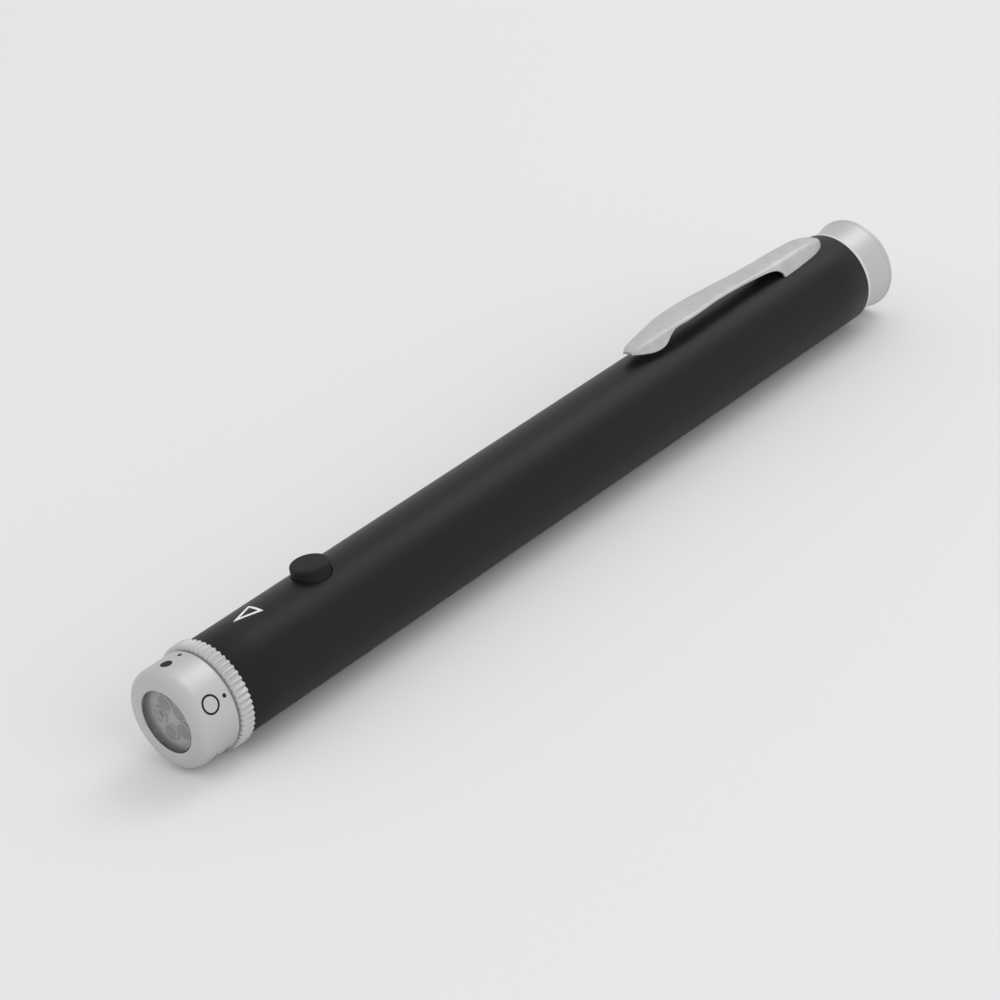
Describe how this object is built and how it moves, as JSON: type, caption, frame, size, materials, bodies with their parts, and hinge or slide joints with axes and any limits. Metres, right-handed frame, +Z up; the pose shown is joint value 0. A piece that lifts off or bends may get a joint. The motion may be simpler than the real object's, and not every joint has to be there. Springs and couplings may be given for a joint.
{
  "type": "laser pointer",
  "caption": "Slim pen-shaped laser pointer with a serrated turning pattern head, a top push button, a formed pocket clip and an unscrewing end cap.",
  "frame": {"origin": "on the surface below the middle of the pen's length, under its axis", "axes": "Y along the pen with the beam leaving towards -Y, +Z up through the button and the clip"},
  "size_m": [0.015, 0.1454, 0.0173],
  "materials": {
    "barrel_black": "fine matte charcoal coating",
    "satin_silver": "satin anodised silver",
    "clip_steel": "satin formed sheet",
    "window_clear": "clear polished",
    "wheel_grey": "matte moulded",
    "film": "thin patterned film",
    "button_black": "matte",
    "washer_ivory": "ivory",
    "brass": "machined",
    "lens_glass": "polished",
    "spring_steel": "bright wire",
    "diode_metal": "gold-plated",
    "board_green": "solder-masked laminate",
    "chip_black": "moulded package",
    "capacitor_tan": "ceramic",
    "cradle_black": "moulded",
    "contact_nickel": "nickel-plated",
    "cell_jacket": "printed-free sleeve",
    "sleeve_film": "insulating tube"
  },
  "bodies": {
    "barrel": {"barrel_tube": "barrel_black", "front_bush": "brass", "head_snap_ring": "spring_steel", "detent_ball": "spring_steel", "detent_spring": "spring_steel", "laser_housing": "brass", "collimator_lens": "lens_glass", "lens_spring": "spring_steel", "laser_diode": "diode_metal", "diode_pins": "diode_metal", "driver_board": "board_green", "board_cradle": "cradle_black", "driver_chip": "chip_black", "board_resistors": "chip_black", "board_capacitor": "capacitor_tan", "power_trimmer": "contact_nickel", "switch_body": "contact_nickel", "contact_plate": "contact_nickel", "front_contact_spring": "spring_steel", "battery_front": "cell_jacket", "battery_front_terminal": "contact_nickel", "battery_rear": "cell_jacket", "battery_rear_terminal": "contact_nickel", "battery_sleeve": "sleeve_film", "clip_saddle": "clip_steel"},
    "head": {"nose_shell": "satin_silver", "grip_ring": "satin_silver", "window": "window_clear", "pattern_wheel": "wheel_grey", "pattern_film_circle": "film", "pattern_film_line": "film", "pattern_film_cross": "film", "pattern_film_arrow": "film"},
    "button": {"push_button": "button_black"},
    "plunger": {"switch_plunger": "button_black"},
    "rear_spring": {"rear_contact_spring": "spring_steel"},
    "cap": {"end_cap": "satin_silver", "cap_washer": "washer_ivory"},
    "clip": {"clip_arm": "clip_steel"}
  },
  "joints": [
    {"name": "head_turn", "type": "hinge", "parent": "barrel", "child": "head", "pos_m": [0, -0.0642, 0.0075], "axis": [0, -1, 0], "continuous": true},
    {"name": "button_press", "type": "slide", "parent": "barrel", "child": "button", "axis": [0, 0, -1], "range_m": [0, 0.0005], "stiffness_N_per_m": 3000},
    {"name": "plunger_press", "type": "slide", "parent": "barrel", "child": "plunger", "axis": [0, 0, -1], "range_m": [0, 0.0005]},
    {"name": "cap_draw", "type": "slide", "parent": "barrel", "child": "rear_spring", "axis": [0, 1, 0], "range_m": [0, 0.00525]},
    {"name": "cap_turn", "type": "hinge", "parent": "rear_spring", "child": "cap", "pos_m": [0, 0.0668, 0.0075], "axis": [0, 1, 0], "range_deg": [0, 2521]},
    {"name": "clip_flex", "type": "hinge", "parent": "barrel", "child": "clip", "pos_m": [0, 0.05303, 0.01632], "axis": [-1, 0, 0], "range_deg": [0, 4], "stiffness_Nm_per_rad": 0.6}
  ],
  "couplings": [
    {"joint": "plunger_press", "follows": "button_press", "ratio": 1},
    {"joint": "cap_turn", "follows": "cap_draw", "rad_per_m": 8377.6}
  ]
}
